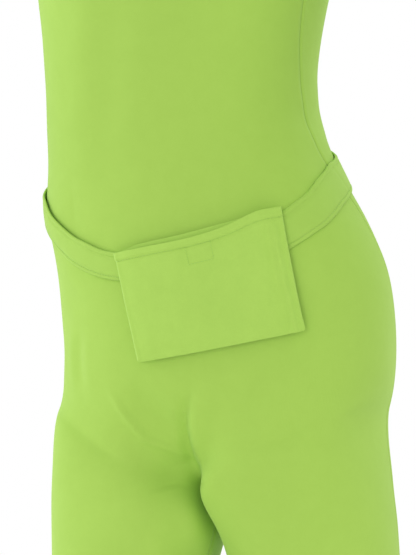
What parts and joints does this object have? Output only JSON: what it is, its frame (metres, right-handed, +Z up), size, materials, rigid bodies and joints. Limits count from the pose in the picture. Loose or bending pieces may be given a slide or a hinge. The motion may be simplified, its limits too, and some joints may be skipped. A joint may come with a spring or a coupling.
{
  "type": "full body spandex suit",
  "caption": "Close-fitting full-body stretch suit with long sleeves and legs, a low belt round the hips and a flat open-topped pouch hanging from it.",
  "frame": {"origin": "middle of the neck opening, at the seam of the neckband, where the wearer's neck and shoulders hold the suit", "axes": "+Z up, -Y the way the wearer faces, +X the wearer's left"},
  "size_m": [1.3824, 0.2455, 1.4059],
  "materials": {
    "suit_knit": "matte fine knit",
    "belt_knit": "matte doubled knit",
    "pouch_knit": "matte fine knit",
    "zip_tape": "woven tape",
    "zip_enamel": "enamelled"
  },
  "bodies": {
    "suit": {"front": "suit_knit", "back_left": "suit_knit", "back_right": "suit_knit", "sleeve_left": "suit_knit", "sleeve_right": "suit_knit", "neckband": "suit_knit", "belt": "belt_knit", "pouch_back": "pouch_knit", "pouch_front": "pouch_knit", "zip_tape_left": "zip_tape", "zip_tape_right": "zip_tape", "zip_slider": "zip_enamel"},
    "pull": {"zip_pull": "zip_enamel"}
  },
  "joints": [
    {"name": "pull_hinge", "type": "hinge", "parent": "suit", "child": "pull", "pos_m": [0, 0.0623, 0.0233], "axis": [1, 0, 0], "range_deg": [0, 150]}
  ]
}
